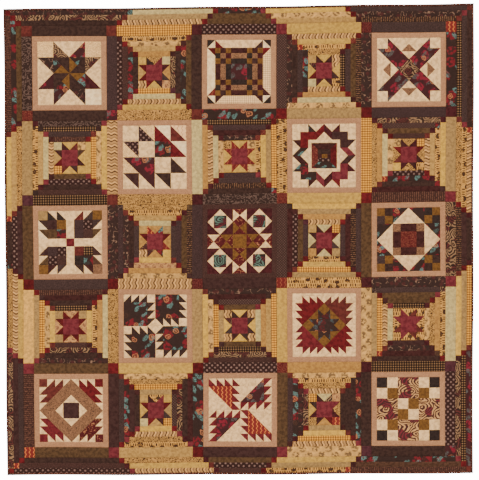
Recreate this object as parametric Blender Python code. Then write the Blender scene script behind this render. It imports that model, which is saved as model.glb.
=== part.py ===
# A pieced star sampler quilt, lying flat, face up.
# The quilted layers are one solid, and four strips of binding close its edges.
# Metres, +Z up. The quilt's top edge points to +Y. The origin is the middle of its underside.

import math

import bmesh
import bpy

INCH = 0.0254
MM = 0.001

# Cut sizes of the quilt top, in inches
BLOCK = 14.0
SASH = 2.0
BORDER = 3.0
BLOCKS = 5
HALF = (BLOCKS * BLOCK + (BLOCKS + 1) * SASH + 2 * BORDER) / 2

# The binding folds over the edge: how far it stands past the border, and how wide it shows
BIND_REACH = 0.20 * INCH
BIND_SHOWS = 0.26 * INCH
BIND_CLOTH = 0.9 * MM
BIND_HIGH = 4.6 * MM
GAP = 0.3 * MM
MITRE_GAP = 0.25 * MM
SLOT_ROOM = 0.5 * MM

# Heights of the quilted layers above the surface
SEAM_HIGH = 3.3 * MM
SASH_HIGH = 4.9 * MM
BLOCK_HIGH = 6.2 * MM
BORDER_HIGH = 5.2 * MM

# Where the grid lines run across a block, from seam to seam
BLOCK_STEPS = (0.0, 0.05, 0.2, 0.5, 0.8, 0.95)
SASH_STEPS = (0.0, 0.5)
BORDER_STEPS = (0.0, 0.12, 0.5)
# How square the puffed patches are: 2 is a round crown, more is flatter
CROWN_POWER = 4

# How the quilt lies: shifts of its sides, each at full reach, in metres
TOP_LEANS_LEFT = 2.8 * MM
TOP_WIDENS = 5.8 * MM
SIDES_BOW_LEFT = 1.4 * MM
RIGHT_RISES = 9.1 * MM
RIGHT_STRETCHES = 4.4 * MM
ROWS_BOW_UP = 2.0 * MM
ENDS_BOW_UP = 2.9 * MM
# Small drift of the seams, as pieced and washed
DRIFT = 1.3 * MM
DRIFT_WAVES = (2.3, 3.1)
LOFT_DRIFT = 0.06
LOFT_WAVES = (5.3, 4.1)

BINDING_STEPS = 24

QUILT_COLOUR = (0.42, 0.26, 0.16, 1.0)
BINDING_COLOUR = (0.16, 0.045, 0.035, 1.0)


def clear_scene():
    for old in list(bpy.data.objects):
        bpy.data.objects.remove(old, do_unlink=True)


def cloth_material(name, colour):
    material = bpy.data.materials.new(name)
    material.use_nodes = True
    shader = material.node_tree.nodes["Principled BSDF"]
    shader.inputs["Base Color"].default_value = colour
    shader.inputs["Roughness"].default_value = 0.9
    shader.inputs["Metallic"].default_value = 0.0
    return material


def lie(across, up):
    """Where a point of the flat cut comes to lie, both in metres from the quilt's middle."""
    u = across / (HALF * INCH)
    v = up / (HALF * INCH)
    x = across - TOP_LEANS_LEFT * v + TOP_WIDENS * u * v - SIDES_BOW_LEFT * u * u
    y = up + RIGHT_RISES * u + RIGHT_STRETCHES * u * v + ROWS_BOW_UP * u * u + ENDS_BOW_UP * v * v
    x += DRIFT * math.sin(math.pi * DRIFT_WAVES[0] * v) * math.cos(math.pi * u)
    y += DRIFT * math.sin(math.pi * DRIFT_WAVES[1] * u) * math.cos(math.pi * v)
    return x, y


def seam_lines(edge):
    """Grid lines across the quilt, each as (place, crown height there), both in metres."""
    bands = [(BORDER, BORDER_HIGH, BORDER_STEPS), (SASH, SASH_HIGH, SASH_STEPS)]
    for _ in range(BLOCKS):
        bands.append((BLOCK, BLOCK_HIGH, BLOCK_STEPS))
        bands.append((SASH, SASH_HIGH, SASH_STEPS))
    far_steps = tuple(1 - step for step in reversed(BORDER_STEPS[1:]))
    bands.append((BORDER, BORDER_HIGH, (0.0,) + far_steps))
    lines = []
    start = -HALF
    for width, high, steps in bands:
        for step in steps:
            crown = 1 - abs(2 * step - 1) ** CROWN_POWER
            lines.append(((start + step * width) * INCH, crown, high))
        start += width
    lines.append((HALF * INCH, 0.0, BORDER_HIGH))
    lines[0] = (-edge, lines[0][1], lines[0][2])
    lines[-1] = (edge, lines[-1][1], lines[-1][2])
    return lines


def top_height(column, row, x, y):
    """The quilted face sinks to the seams and puffs up between them, a little unevenly."""
    crown = column[1] * row[1]
    high = min(column[2], row[2])
    uneven = LOFT_DRIFT * math.sin(LOFT_WAVES[0] * x + 1) * math.cos(LOFT_WAVES[1] * y)
    return SEAM_HIGH + (high - SEAM_HIGH) * crown * (1 + uneven)


def ring_of(count):
    """The grid's rim as (column, row), once round, anticlockwise seen from above."""
    last = count - 1
    ring = [(i, 0) for i in range(last)]
    ring += [(last, j) for j in range(last)]
    ring += [(last - i, last) for i in range(last)]
    ring += [(0, last - j) for j in range(last)]
    return ring


def quilted_layers():
    """One closed solid: puffed face, thin rim that the binding holds, and a flat underside."""
    inner = HALF * INCH + BIND_REACH - BIND_SHOWS - SLOT_ROOM
    outer = HALF * INCH + BIND_REACH - BIND_CLOTH - SLOT_ROOM
    rim_low = BIND_CLOTH + GAP
    rim_high = BIND_HIGH - BIND_CLOTH - GAP
    lines = seam_lines(inner)
    count = len(lines)
    shape = bmesh.new()

    def point(across, up, z):
        x, y = lie(across, up)
        return shape.verts.new((x, y, z))

    def outward(place):
        return math.copysign(outer, place) if abs(abs(place) - inner) < GAP / 2 else place

    grid = []
    for row in lines:
        verts = []
        for column in lines:
            z = top_height(column, row, column[0], row[0])
            verts.append(point(column[0], row[0], z))
        grid.append(verts)
    for j in range(count - 1):
        for i in range(count - 1):
            shape.faces.new((grid[j][i], grid[j][i + 1], grid[j + 1][i + 1], grid[j + 1][i]))

    ring = ring_of(count)
    loops = [[grid[j][i] for i, j in ring]]
    for reach, z in ((outward, rim_high), (outward, rim_low), (float, rim_low), (float, 0.0)):
        loops.append([point(reach(lines[i][0]), reach(lines[j][0]), z) for i, j in ring])
    for above, below in zip(loops, loops[1:]):
        for k in range(len(ring)):
            n = (k + 1) % len(ring)
            shape.faces.new((above[k], below[k], below[n], above[n]))

    middle = (HALF - BORDER) * INCH
    corners = [point(sx * middle, sy * middle, 0.0) for sx, sy in ((-1, -1), (1, -1), (1, 1), (-1, 1))]
    shape.faces.new(reversed(corners))
    side = count - 1
    rim = loops[-1]
    for s in range(4):
        first = corners[s]
        second = corners[(s + 1) % 4]
        for k in range(side):
            here = rim[s * side + k]
            after = rim[(s * side + k + 1) % len(rim)]
            near = first if k < side // 2 else second
            shape.faces.new((here, near, after))
        half_way = rim[s * side + side // 2]
        shape.faces.new((half_way, first, second))
    return shape


def binding_profile():
    """Section of the folded binding, as (inward from its outer edge, height), round the fold."""
    wall = BIND_CLOTH
    slot_top = BIND_HIGH - wall
    return [
        (1.3 * MM, 0.0),
        (BIND_SHOWS, 0.0),
        (BIND_SHOWS, wall),
        (wall, wall),
        (wall, slot_top),
        (BIND_SHOWS, slot_top),
        (BIND_SHOWS, BIND_HIGH),
        (1.3 * MM, BIND_HIGH),
        (0.0, BIND_HIGH - 1.5 * MM),
        (0.0, 1.5 * MM),
    ]


def binding_strip(turns):
    """One strip, mitred at both ends; turns counts quarter turns from the lower side."""
    reach = HALF * INCH + BIND_REACH
    profile = binding_profile()
    shape = bmesh.new()
    sections = []
    for step in range(BINDING_STEPS + 1):
        along = step / BINDING_STEPS * 2 - 1
        section = []
        for inward, z in profile:
            across = along * (reach - inward - MITRE_GAP)
            up = -(reach - inward)
            for _ in range(turns):
                across, up = -up, across
            x, y = lie(across, up)
            section.append(shape.verts.new((x, y, z)))
        sections.append(section)
    size = len(profile)
    for here, after in zip(sections, sections[1:]):
        for k in range(size):
            n = (k + 1) % size
            shape.faces.new((here[k], here[n], after[n], after[k]))
    shape.faces.new(reversed(sections[0]))
    shape.faces.new(sections[-1])
    return shape


def add_object(name, shape, material):
    bmesh.ops.recalc_face_normals(shape, faces=shape.faces)
    mesh = bpy.data.meshes.new(name)
    shape.to_mesh(mesh)
    shape.free()
    mesh.materials.append(material)
    piece = bpy.data.objects.new(name, mesh)
    bpy.context.scene.collection.objects.link(piece)
    return piece


def centre_on_origin(pieces):
    """Moves all meshes together, so that the middle of the whole outline is over the origin."""
    places = [v.co for piece in pieces for v in piece.data.vertices]
    middle_x = (min(p.x for p in places) + max(p.x for p in places)) / 2
    middle_y = (min(p.y for p in places) + max(p.y for p in places)) / 2
    for place in places:
        place.x -= middle_x
        place.y -= middle_y
    print(f"moved by {-middle_x:.5f}, {-middle_y:.5f} m")


def main():
    clear_scene()
    quilt_cloth = cloth_material("quilt_cloth", QUILT_COLOUR)
    binding_cloth = cloth_material("binding_cloth", BINDING_COLOUR)
    pieces = [add_object("quilted_layers", quilted_layers(), quilt_cloth)]
    for turns, side in enumerate(("bottom", "right", "top", "left")):
        pieces.append(add_object(f"binding_{side}", binding_strip(turns), binding_cloth))
    centre_on_origin(pieces)
    for piece in pieces:
        print(piece.name, len(piece.data.polygons), "faces")


main()
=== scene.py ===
# %% [markdown]
# A star quilt blanket, laid flat. The real one is three layers, a pieced top, thin wadding and a back,
# stitched through together and bound at the edge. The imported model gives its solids, and this lesson
# dresses them: it cuts every patch in inches, as a quilter does, sews the patches into puffed sheets,
# lays the sheets on the solid's own folds, and prints each cotton with shader nodes.

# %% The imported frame
import math
import random

import bmesh
import bpy
import numpy as np
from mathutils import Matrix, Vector
from mathutils.geometry import delaunay_2d_cdt


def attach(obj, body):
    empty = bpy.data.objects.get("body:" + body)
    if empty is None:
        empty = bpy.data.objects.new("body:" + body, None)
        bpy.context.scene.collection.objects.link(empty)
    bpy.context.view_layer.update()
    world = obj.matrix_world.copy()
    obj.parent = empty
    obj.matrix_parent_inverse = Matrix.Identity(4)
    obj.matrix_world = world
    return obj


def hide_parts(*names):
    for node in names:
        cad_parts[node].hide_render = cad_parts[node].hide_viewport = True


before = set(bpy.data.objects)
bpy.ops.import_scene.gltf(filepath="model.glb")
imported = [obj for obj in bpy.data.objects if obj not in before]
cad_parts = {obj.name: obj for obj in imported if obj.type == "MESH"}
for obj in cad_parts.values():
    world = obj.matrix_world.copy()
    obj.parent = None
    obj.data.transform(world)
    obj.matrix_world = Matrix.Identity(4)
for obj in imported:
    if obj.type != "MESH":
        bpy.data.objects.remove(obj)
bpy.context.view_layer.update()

# %% [markdown]
# A quilt is planned in whole inches. Five blocks of 14 inches stand in sashes of 2 inches, and a border
# of three 1 inch logs goes round. All charts below are in inches from the top left corner, with y down.

# %% Cut sizes, in inches
INCH = 0.0254
MM = 0.001
BLOCK = 14.0
SASH = 2.0
BORDER = 3.0
BLOCKS = 5
STEP = BLOCK + SASH
FULL = BLOCKS * STEP + SASH + 2 * BORDER
HALF = FULL / 2
BIND_REACH = 0.20 * INCH
BIND_HIGH = 4.6 * MM
print("the top is", FULL, "inches square")


# %% [markdown]
# The cloth isn't laid quite square: its right side lies a little higher, and its seams drift. The same few
# shifts shaped the solids, so every sheet that passes through this function lands on them.

# %% How the cloth lies
TOP_LEANS_LEFT = 2.8 * MM
TOP_WIDENS = 5.8 * MM
SIDES_BOW_LEFT = 1.4 * MM
RIGHT_RISES = 9.1 * MM
RIGHT_STRETCHES = 4.4 * MM
ROWS_BOW_UP = 2.0 * MM
ENDS_BOW_UP = 2.9 * MM
DRIFT = 1.3 * MM
DRIFT_WAVES = (2.3, 3.1)
EDGE_SPOTS = 25


def lie(across, up):
    """Where flat places, in metres from the cut's middle, come to lie."""
    u = across / (HALF * INCH)
    v = up / (HALF * INCH)
    x = across - TOP_LEANS_LEFT * v + TOP_WIDENS * u * v - SIDES_BOW_LEFT * u * u
    y = up + RIGHT_RISES * u + RIGHT_STRETCHES * u * v + ROWS_BOW_UP * u * u + ENDS_BOW_UP * v * v
    x = x + DRIFT * np.sin(math.pi * DRIFT_WAVES[0] * v) * np.cos(math.pi * u)
    y = y + DRIFT * np.sin(math.pi * DRIFT_WAVES[1] * u) * np.cos(math.pi * v)
    return x, y


def outline_middle():
    """The middle of the laid outline, which the solids have over the origin."""
    reach = HALF * INCH + BIND_REACH
    run = np.linspace(-reach, reach, EDGE_SPOTS)
    far = np.full(EDGE_SPOTS, reach)
    x, y = lie(np.concatenate((run, run, -far, far)), np.concatenate((-far, far, run, run)))
    return (x.min() + x.max()) / 2, (y.min() + y.max()) / 2


MIDDLE = outline_middle()
print("outline middle", [round(float(m) * 1000, 2) for m in MIDDLE], "mm")

# %% [markdown]
# The layers puff up between the stitched seams of the blocks, sashes and border. This is the solid's own
# relief, worked out smoothly here, and each patch adds a little crown of its own later.

# %% Heights of the quilted layers
SEAM_HIGH = 3.3 * MM
SASH_HIGH = 4.9 * MM
BLOCK_HIGH = 6.2 * MM
BORDER_HIGH = 5.2 * MM
CROWN_POWER = 4
LOFT_DRIFT = 0.06
LOFT_WAVES = (5.3, 4.1)
BAND_STARTS = [0.0, BORDER]
BAND_HIGHS = [BORDER_HIGH, SASH_HIGH]
for number in range(BLOCKS):
    BAND_STARTS += [BORDER + SASH + number * STEP, BORDER + (number + 1) * STEP]
    BAND_HIGHS += [BLOCK_HIGH, SASH_HIGH]
BAND_STARTS += [FULL - BORDER, FULL]
BAND_HIGHS += [BORDER_HIGH]


def crown(place):
    """The crown, from 0 at a seam to 1, and the height of the band that holds each place, in inches."""
    starts = np.array(BAND_STARTS)
    band = np.clip(np.searchsorted(starts, place, side="right") - 1, 0, len(BAND_HIGHS) - 1)
    share = np.clip((place - starts[band]) / (starts[band + 1] - starts[band]), 0, 1)
    return 1 - np.abs(2 * share - 1) ** CROWN_POWER, np.array(BAND_HIGHS)[band]


def quilt_height(right, down):
    """Height of the quilted layers over a flat place, in metres."""
    crown_x, high_x = crown(right)
    crown_y, high_y = crown(down)
    across = (right - HALF) * INCH
    up = (HALF - down) * INCH
    uneven = LOFT_DRIFT * np.sin(LOFT_WAVES[0] * across + 1) * np.cos(LOFT_WAVES[1] * up)
    high = np.minimum(high_x, high_y)
    return SEAM_HIGH + (high - SEAM_HIGH) * crown_x * crown_y * (1 + uneven)


print("a block puffs to", round(float(quilt_height(np.array([12.0]), np.array([12.0]))[0]) * 1000, 2), "mm")

# %% [markdown]
# The cottons are old reproduction prints: madder reds, chocolate browns and gold tans. Each has a motif,
# the repeat of its print in inches, and the colours of its ground, its figure and a third accent. They are
# typed as the eye sees them, in 0 to 255, and `dye` works out the base colour that looks so in this light.

# %% The cottons
COTTONS = {
    # reds
    "magenta": ("mottled", 1.3, (138, 52, 56), (118, 34, 42), (152, 68, 70)),
    "cranberry": ("mottled", 1.0, (134, 38, 42), (112, 24, 30), (148, 56, 56)),
    "crimson": ("mottled", 1.1, (128, 26, 30), (104, 12, 18), (140, 40, 40)),
    "deep_red": ("mottled", 1.2, (112, 20, 22), (90, 10, 14), (124, 32, 30)),
    "brick": ("mottled", 1.0, (122, 50, 40), (102, 36, 30), (136, 62, 50)),
    "burgundy": ("mottled", 1.1, (88, 30, 32), (70, 18, 22), (104, 42, 42)),
    "maroon": ("mottled", 1.2, (80, 36, 32), (64, 24, 22), (94, 46, 40)),
    "plum": ("mottled", 1.2, (80, 46, 40), (66, 34, 30), (94, 58, 50)),
    "purple": ("mottled", 1.2, (98, 47, 51), (80, 33, 39), (112, 60, 62)),
    "red_scroll": ("vermicular", 1.2, (108, 28, 28), (148, 78, 58), (80, 18, 16)),
    "red_stripe": ("ticks", 0.42, (110, 36, 34), (72, 18, 18), (142, 76, 62)),
    "zigzag": ("zigzag", 0.8, (148, 50, 42), (210, 144, 98), (110, 34, 28)),
    "red_vine": ("vine", 1.6, (102, 27, 29), (190, 138, 100), (80, 18, 20)),
    "rust_wave": ("zigzag", 0.8, (132, 40, 34), (166, 90, 64), (104, 28, 24)),
    # browns
    "chocolate": ("mottled", 0.9, (76, 47, 37), (60, 34, 28), (90, 58, 47)),
    "ebony": ("mottled", 0.8, (62, 43, 36), (48, 32, 27), (74, 54, 46)),
    "charcoal": ("speckle", 0.5, (76, 50, 44), (96, 68, 60), (56, 36, 32)),
    "char_plum": ("speckle", 0.5, (76, 48, 44), (96, 66, 60), (56, 34, 32)),
    "plum_brown": ("speckle", 0.45, (80, 46, 38), (104, 66, 54), (58, 32, 28)),
    "olive": ("mottled", 0.9, (108, 74, 44), (86, 56, 32), (126, 92, 58)),
    "rust_brown": ("mottled", 0.9, (102, 64, 44), (80, 48, 32), (120, 80, 56)),
    "polka": ("dots", 1.02, (60, 31, 26), (146, 112, 98), (80, 44, 36)),
    "pin_dots": ("dots", 0.5, (74, 44, 37), (124, 90, 76), (66, 38, 30)),
    "black_check": ("check", 0.46, (38, 21, 14), (106, 72, 48), (186, 148, 106)),
    "tan_ticks": ("ticks", 0.4, (62, 37, 29), (146, 102, 70), (48, 27, 22)),
    "rust_ticks": ("ticks", 0.38, (76, 42, 33), (134, 86, 64), (54, 28, 23)),
    "teal_floral": ("floral", 3.0, (64, 40, 33), (140, 34, 42), (108, 136, 126)),
    "rose_floral": ("floral", 3.0, (78, 34, 34), (150, 38, 54), (104, 98, 90)),
    "dusk_floral": ("floral", 2.2, (66, 42, 36), (102, 36, 36), (88, 96, 94)),
    "dark_scroll": ("vermicular", 2.6, (62, 38, 31), (118, 88, 74), (48, 28, 24)),
    "flecks": ("vine", 2.4, (66, 41, 34), (156, 120, 96), (98, 44, 40)),
    "dark_paisley": ("paisley", 3.2, (58, 35, 28), (164, 128, 94), (112, 50, 44)),
    "teal_swirl": ("paisley", 3.6, (56, 42, 37), (110, 132, 114), (122, 34, 42)),
    "rose_paisley": ("paisley", 4.0, (84, 42, 38), (198, 162, 120), (138, 48, 54)),
    # golds
    "gold": ("mottled", 1.0, (197, 165, 103), (185, 150, 89), (208, 177, 118)),
    "honey": ("mottled", 1.0, (211, 177, 122), (198, 163, 108), (220, 189, 138)),
    "gold_yellow": ("mottled", 1.1, (204, 173, 109), (193, 159, 95), (213, 184, 124)),
    "orange_gold": ("mottled", 1.0, (188, 146, 89), (174, 130, 76), (199, 160, 103)),
    "sage": ("mottled", 0.8, (178, 145, 96), (162, 128, 82), (190, 158, 109)),
    "tan_gold": ("mottled", 0.9, (189, 154, 100), (175, 138, 85), (200, 168, 115)),
    "mint": ("mottled", 1.0, (196, 178, 134), (184, 164, 120), (206, 190, 148)),
    "gold_check": ("check", 0.46, (214, 172, 108), (140, 86, 46), (96, 52, 26)),
    "serpentine": ("serpentine", 1.18, (190, 151, 104), (84, 52, 30), (230, 196, 150)),
    "script": ("script", 0.44, (200, 161, 106), (84, 50, 30), (214, 178, 124)),
    "vermicular": ("vermicular", 1.6, (190, 150, 96), (84, 52, 28), (200, 162, 106)),
    "sprig": ("sprig", 2.5, (200, 165, 114), (140, 104, 64), (214, 182, 134)),
    "tan_rose": ("sprig", 1.4, (192, 150, 106), (150, 98, 70), (208, 170, 126)),
    # sampler blocks
    "cream": ("mottled", 1.2, (218, 196, 164), (206, 180, 144), (226, 206, 178)),
    "white": ("mottled", 1.2, (224, 208, 182), (212, 192, 162), (230, 216, 194)),
    "cream_tan": ("vermicular", 1.1, (218, 194, 158), (196, 162, 120), (224, 202, 168)),
    "peach_cream": ("zigzag", 0.8, (222, 196, 164), (202, 164, 126), (224, 202, 174)),
    "cream_check": ("check", 0.4, (224, 202, 170), (198, 168, 132), (186, 152, 114)),
    "rose_tan": ("speckle", 0.4, (184, 142, 108), (168, 122, 90), (196, 154, 122)),
    "tan_scroll": ("vermicular", 1.2, (162, 116, 82), (104, 70, 48), (172, 128, 94)),
    "mustard": ("mottled", 0.7, (140, 94, 40), (120, 76, 30), (156, 108, 50)),
    "muslin": ("mottled", 1.5, (204, 184, 148), (194, 172, 136), (212, 194, 162)),
    "binding_red": ("ticks", 0.5, (76, 34, 27), (158, 104, 82), (56, 22, 18)),
}


# The picture's film bends light towards white past its knee, and mutes colours on their way through. The
# dye undoes both: the seen colour is muted, unbent by the knee and the toe, and then brought back to life.
EYE = np.array((0.3, 0.6, 0.1))
MUTE, REVIVE = 0.55, 1.76
KNEE, TOE = 0.69, 0.075
BRIGHTEST = 0.69
LIGHT = np.array((1.7, 1.4, 1.0))
DARKEST, PALEST = 0.002, 0.92


def dye(colour):
    """The dye, in linear light, that a warm lamp and the film show as the typed colour."""
    shares = np.array(colour) / 255
    seen = np.where(shares <= 0.04045, shares / 12.92, ((shares + 0.055) / 1.055) ** 2.4)
    seen = seen * min(1, BRIGHTEST / seen.max())
    muted = seen @ EYE + (seen - seen @ EYE) * MUTE
    light = KNEE * muted / (1 - muted) + TOE * muted ** 0.5
    alive = light @ EYE + (light - light @ EYE) * REVIVE
    return np.clip(alive / LIGHT, DARKEST, PALEST).tolist()


MOTIFS = sorted({cotton[0] for cotton in COTTONS.values()})
print(len(COTTONS), "cottons in", len(MOTIFS), "motifs")

# %% [markdown]
# Every patch is an outline in inches with the name of its cotton. A later patch covers an earlier one, as
# in appliqué, so a block can start with a ground of plain squares. The patches are kept by the long part
# of the top that they are sewn into.

# %% The cutting list
cuts = {}


def cut(part, cotton, points):
    """Adds one patch to a part of the top. Points are (right, down) in inches from the quilt's corner."""
    if cotton not in COTTONS:
        raise KeyError(f"no cotton is named {cotton}")
    cuts.setdefault(part, []).append((cotton, [(float(x), float(y)) for x, y in points]))


def box_at(x, y, wide, high):
    """The corners of an upright box, from its first corner round."""
    return [(x, y), (x + wide, y), (x + wide, y + high), (x, y + high)]


def cut_box(part, cotton, x, y, wide, high):
    cut(part, cotton, box_at(x, y, wide, high))


# %% [markdown]
# The sashes join the blocks. Each is one strip of print, a row's worth to a line below, and a 2 inch red
# square stands wherever they cross.

# %% Sashes
ROW_SASHES = """
chocolate gold_check polka gold charcoal
chocolate vermicular teal_floral sage char_plum
black_check vermicular dark_scroll gold rust_ticks
charcoal serpentine plum script flecks
olive gold polka orange_gold black_check
olive tan_gold plum sprig chocolate
"""
COLUMN_SASHES = """
dark_scroll char_plum chocolate pin_dots flecks teal_floral
sage serpentine mint script gold_check sage
olive flecks char_plum pin_dots olive dark_paisley
honey vermicular sage gold sprig mint
rust_ticks plum teal_floral olive chocolate polka
"""
SASH_SQUARES = """
brick brick burgundy magenta red_stripe zigzag
red_scroll rose_floral brick crimson deep_red burgundy
purple brick burgundy red_scroll crimson magenta
deep_red deep_red red_stripe rust_wave burgundy magenta
magenta crimson deep_red red_scroll burgundy purple
zigzag magenta deep_red magenta purple rose_floral
"""


def chart(text):
    return [line.split() for line in text.strip().splitlines()]


def block_corner(number):
    """Where block 1 to 5 starts, along a row or down a column."""
    return BORDER + SASH + (number - 1) * STEP


for row, squares in enumerate(chart(SASH_SQUARES)):
    for column, cotton in enumerate(squares):
        cut_box(f"sash_row_{row}", cotton, BORDER + column * STEP, BORDER + row * STEP, SASH, SASH)
for row, strips in enumerate(chart(ROW_SASHES)):
    for column, cotton in enumerate(strips):
        cut_box(f"sash_row_{row}", cotton, block_corner(column + 1), BORDER + row * STEP, BLOCK, SASH)
for row, strips in enumerate(chart(COLUMN_SASHES)):
    for column, cotton in enumerate(strips):
        cut_box(f"block_row_{row + 1}", cotton, BORDER + column * STEP, block_corner(row + 1), SASH, BLOCK)
print(sum(len(part) for part in cuts.values()), "sash patches")

# %% [markdown]
# Twelve blocks are small sawtooth stars in four rounds of logs, like a log cabin set with corner squares.
# Each chart names the centre, eight points, four corners and four geese of the star, then the logs of the
# four sides from inside out, and the red squares of the four corners from inside out.

# %% Star charts
STARS = {
    (1, 2): """magenta | chocolate magenta burgundy charcoal maroon crimson deep_red deep_red
        gold mint tan_rose serpentine | vermicular orange_gold gold tan_gold
        orange_gold tan_gold sprig script | gold_check mint serpentine gold
        chocolate teal_floral plum_brown polka | dark_paisley chocolate teal_floral olive
        deep_red brick crimson maroon | maroon crimson maroon brick
        purple brick maroon deep_red | crimson magenta deep_red magenta""",
    (1, 4): """magenta | maroon maroon serpentine plum maroon burgundy deep_red dark_paisley
        tan_gold serpentine script mint | gold gold gold gold
        vermicular script gold serpentine | serpentine orange_gold mint sprig
        teal_floral charcoal chocolate flecks | black_check charcoal olive tan_ticks
        teal_floral zigzag brick burgundy | burgundy deep_red red_scroll deep_red
        deep_red crimson maroon deep_red | maroon brick red_scroll serpentine""",
    (2, 1): """magenta | maroon brick rust_brown maroon plum brick deep_red maroon
        mint sprig gold gold_check | gold gold gold tan_gold
        rust_ticks charcoal black_check dark_scroll | olive polka chocolate plum_brown
        serpentine mint tan_gold script | gold gold_check sprig gold_yellow
        maroon magenta teal_floral burgundy | crimson red_scroll plum magenta
        magenta crimson plum magenta | maroon magenta burgundy teal_floral""",
    (2, 3): """magenta | rust_wave rust_wave rust_wave rust_wave rust_wave rust_wave rust_wave rust_wave
        vermicular sprig sprig gold | gold gold gold gold
        flecks maroon char_plum black_check | char_plum charcoal tan_ticks chocolate
        sprig mint serpentine orange_gold | script gold_yellow sage gold_check
        burgundy maroon brick brick | red_scroll red_scroll burgundy deep_red
        magenta brick crimson teal_floral | deep_red deep_red burgundy brick""",
    (2, 5): """magenta | maroon burgundy deep_red maroon maroon burgundy brick crimson
        sprig gold_check script gold_yellow | vermicular vermicular vermicular vermicular
        plum_brown olive pin_dots dark_paisley | polka teal_floral chocolate maroon
        sprig mint orange_gold vermicular | serpentine tan_gold script gold_yellow
        deep_red burgundy crimson burgundy | brick burgundy teal_floral burgundy
        crimson burgundy teal_floral plum | magenta zigzag brick burgundy""",
    (3, 2): """magenta | zigzag teal_floral deep_red rust_wave teal_floral dark_paisley dark_paisley deep_red
        tan_gold sage gold_yellow serpentine | orange_gold orange_gold orange_gold orange_gold
        mint tan_gold script vermicular | gold_yellow tan_rose orange_gold sprig
        charcoal chocolate flecks char_plum | charcoal char_plum olive tan_ticks
        brick deep_red brick dark_scroll | burgundy crimson burgundy olive
        brick crimson maroon plum | magenta maroon magenta maroon""",
    (3, 4): """magenta | maroon deep_red deep_red charcoal deep_red burgundy rust_brown maroon
        tan_gold gold_check sage orange_gold | mint mint mint mint
        serpentine orange_gold sage gold_yellow | script gold gold_check sage
        char_plum olive polka maroon | char_plum maroon tan_ticks charcoal
        purple deep_red maroon chocolate | crimson burgundy chocolate burgundy
        burgundy deep_red burgundy deep_red | deep_red crimson brick deep_red""",
    (4, 1): """magenta | deep_red deep_red deep_red deep_red deep_red deep_red deep_red deep_red
        sage sage sage sage | tan_rose tan_rose tan_rose tan_rose
        black_check chocolate maroon rust_ticks | plum_brown dark_paisley chocolate flecks
        gold_yellow sprig gold_check sage | gold_yellow script orange_gold mint
        brick crimson plum crimson | maroon crimson crimson burgundy
        maroon burgundy maroon plum | brick crimson brick magenta""",
    (4, 3): """magenta | chocolate maroon plum plum chocolate maroon charcoal dark_paisley
        serpentine serpentine serpentine serpentine | gold_yellow gold_yellow gold_yellow gold_yellow
        olive pin_dots maroon flecks | olive black_check dark_paisley plum_brown
        sage gold_check sprig gold_yellow | mint orange_gold tan_gold gold_check
        crimson maroon maroon brick | magenta deep_red chocolate plum
        maroon maroon burgundy maroon | plum maroon brick deep_red""",
    (4, 5): """magenta | magenta brick magenta brick brick magenta brick magenta
        script script script script | script script script script
        black_check olive olive charcoal | plum flecks maroon chocolate
        mint serpentine gold_check sage | sprig vermicular orange_gold script
        magenta maroon deep_red dark_scroll | burgundy deep_red magenta dark_paisley
        burgundy maroon rust_brown crimson | burgundy brick zigzag maroon""",
    (5, 2): """magenta | maroon magenta deep_red charcoal maroon crimson plum deep_red
        tan_gold gold gold_check mint | script sage tan_gold gold
        sage gold_check vermicular sprig | gold_yellow serpentine vermicular script
        chocolate plum teal_floral charcoal | pin_dots dark_paisley chocolate maroon
        maroon deep_red crimson brick | maroon crimson chocolate crimson
        crimson magenta burgundy magenta | magenta deep_red magenta crimson""",
    (5, 4): """magenta | maroon dark_paisley magenta burgundy deep_red maroon burgundy chocolate
        gold_check tan_rose zigzag vermicular | mint vermicular orange_gold gold
        serpentine vermicular script sprig | sage gold_yellow gold_check serpentine
        dark_paisley flecks teal_floral char_plum | chocolate chocolate chocolate teal_floral
        magenta crimson magenta brick | brick crimson chocolate burgundy
        maroon brick deep_red magenta | crimson maroon burgundy maroon""",
}
print(len(STARS), "star blocks charted")


# %% [markdown]
# A star is cut once for one side and turned about the block's middle for the other three, which is how its
# pieces are stacked and cut too.

# %% Star blocks
CENTRE = BLOCK / 2
STAR_SIDE = 6.0
ROUNDS = 4


def turned(points, turns, side):
    """Points turned clockwise in quarter turns about the middle of a square of that side."""
    for _ in range(turns % 4):
        points = [(side - y, x) for x, y in points]
    return points


def star_block(row, column, text):
    names = text.replace("|", " ").split()
    centre, names = names[0], names[1:]
    points, corners, geese = names[:8], names[8:12], names[12:16]
    top, bottom, left, right = (names[16 + 4 * n:20 + 4 * n] for n in range(4))
    squares = [names[32 + 4 * n:36 + 4 * n] for n in range(4)]
    part = f"block_row_{row}"
    x0, y0 = block_corner(column), block_corner(row)

    def place(cotton, outline, turns):
        cut(part, cotton, [(x0 + x, y0 + y) for x, y in turned(outline, turns, BLOCK)])

    inner = STAR_SIDE / 4
    low, high = CENTRE - STAR_SIDE / 2, CENTRE + STAR_SIDE / 2
    near, far = low + inner, high - inner
    place(centre, box_at(near, near, far - near, far - near), 0)
    for turn in range(4):
        place(corners[turn], box_at(low, low, inner, inner), turn)
        place(geese[turn], [(near, low), (far, low), (CENTRE, near)], turn)
        place(points[2 * turn], [(near, low), (CENTRE, near), (near, near)], turn)
        place(points[2 * turn + 1], [(far, low), (far, near), (CENTRE, near)], turn)
    for number in range(ROUNDS):
        side = low - number
        length = high - low + 2 * number
        for turn, logs in enumerate((top, right, bottom, left)):
            place(logs[number], box_at(side, side - 1, length, 1), turn)
            place(squares[turn][number], box_at(side - 1, side - 1, 1, 1), turn)


for (row, column), text in STARS.items():
    star_block(row, column, text)
print(sum(len(part) for part in cuts.values()), "patches so far")

# %% [markdown]
# The other thirteen blocks are 12 inch samplers of old patterns, each in a narrow frame. This small class
# cuts them. A unit is the pattern's own grid step, and `four` cuts one outline and its three quarter turns,
# while `mirror` cuts it and its three mirror images.

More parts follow.
